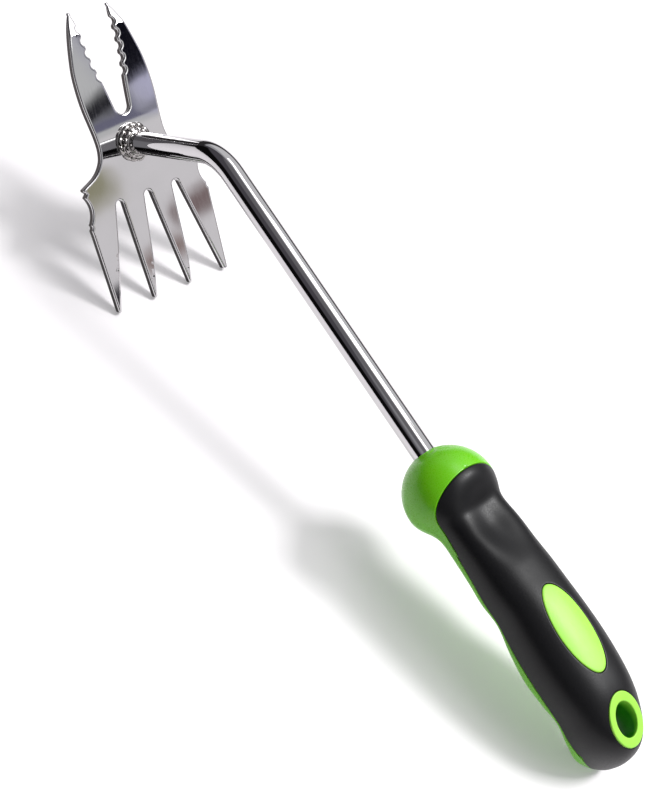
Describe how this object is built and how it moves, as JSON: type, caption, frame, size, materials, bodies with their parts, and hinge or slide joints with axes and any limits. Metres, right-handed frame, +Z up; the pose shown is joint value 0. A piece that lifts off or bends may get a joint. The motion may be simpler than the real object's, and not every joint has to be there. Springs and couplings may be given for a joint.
{
  "type": "hand weeder",
  "caption": "Short hand weeder with a forked claw over a tined rake, welded to a bent round rod with a moulded ergonomic handle and hang hole.",
  "frame": {"origin": "centre of the bounding box on the floor that the tool rests on", "axes": "+X from the head towards the tail of the handle, +Z up; the tool rests on its tine tips and the tail of its handle, with the fork pointing up and away"},
  "size_m": [0.3808, 0.0656, 0.1037],
  "materials": {
    "polished_steel": "mirror-polished stainless steel",
    "weld_steel": "rippled weld bead, polished over",
    "core_plastic": "plain moulded, hidden",
    "lime_plastic": "satin moulded polypropylene",
    "light_lime_plastic": "satin moulded polypropylene, lighter",
    "soft_black": "matte soft-touch thermoplastic rubber"
  },
  "bodies": {
    "root": {"head_plate": "polished_steel", "rod": "polished_steel", "weld_bead": "weld_steel", "tang_core": "core_plastic", "handle_body": "lime_plastic", "grip_cover": "soft_black", "oval_badge": "light_lime_plastic", "hang_eyelet": "light_lime_plastic"}
  },
  "joints": []
}
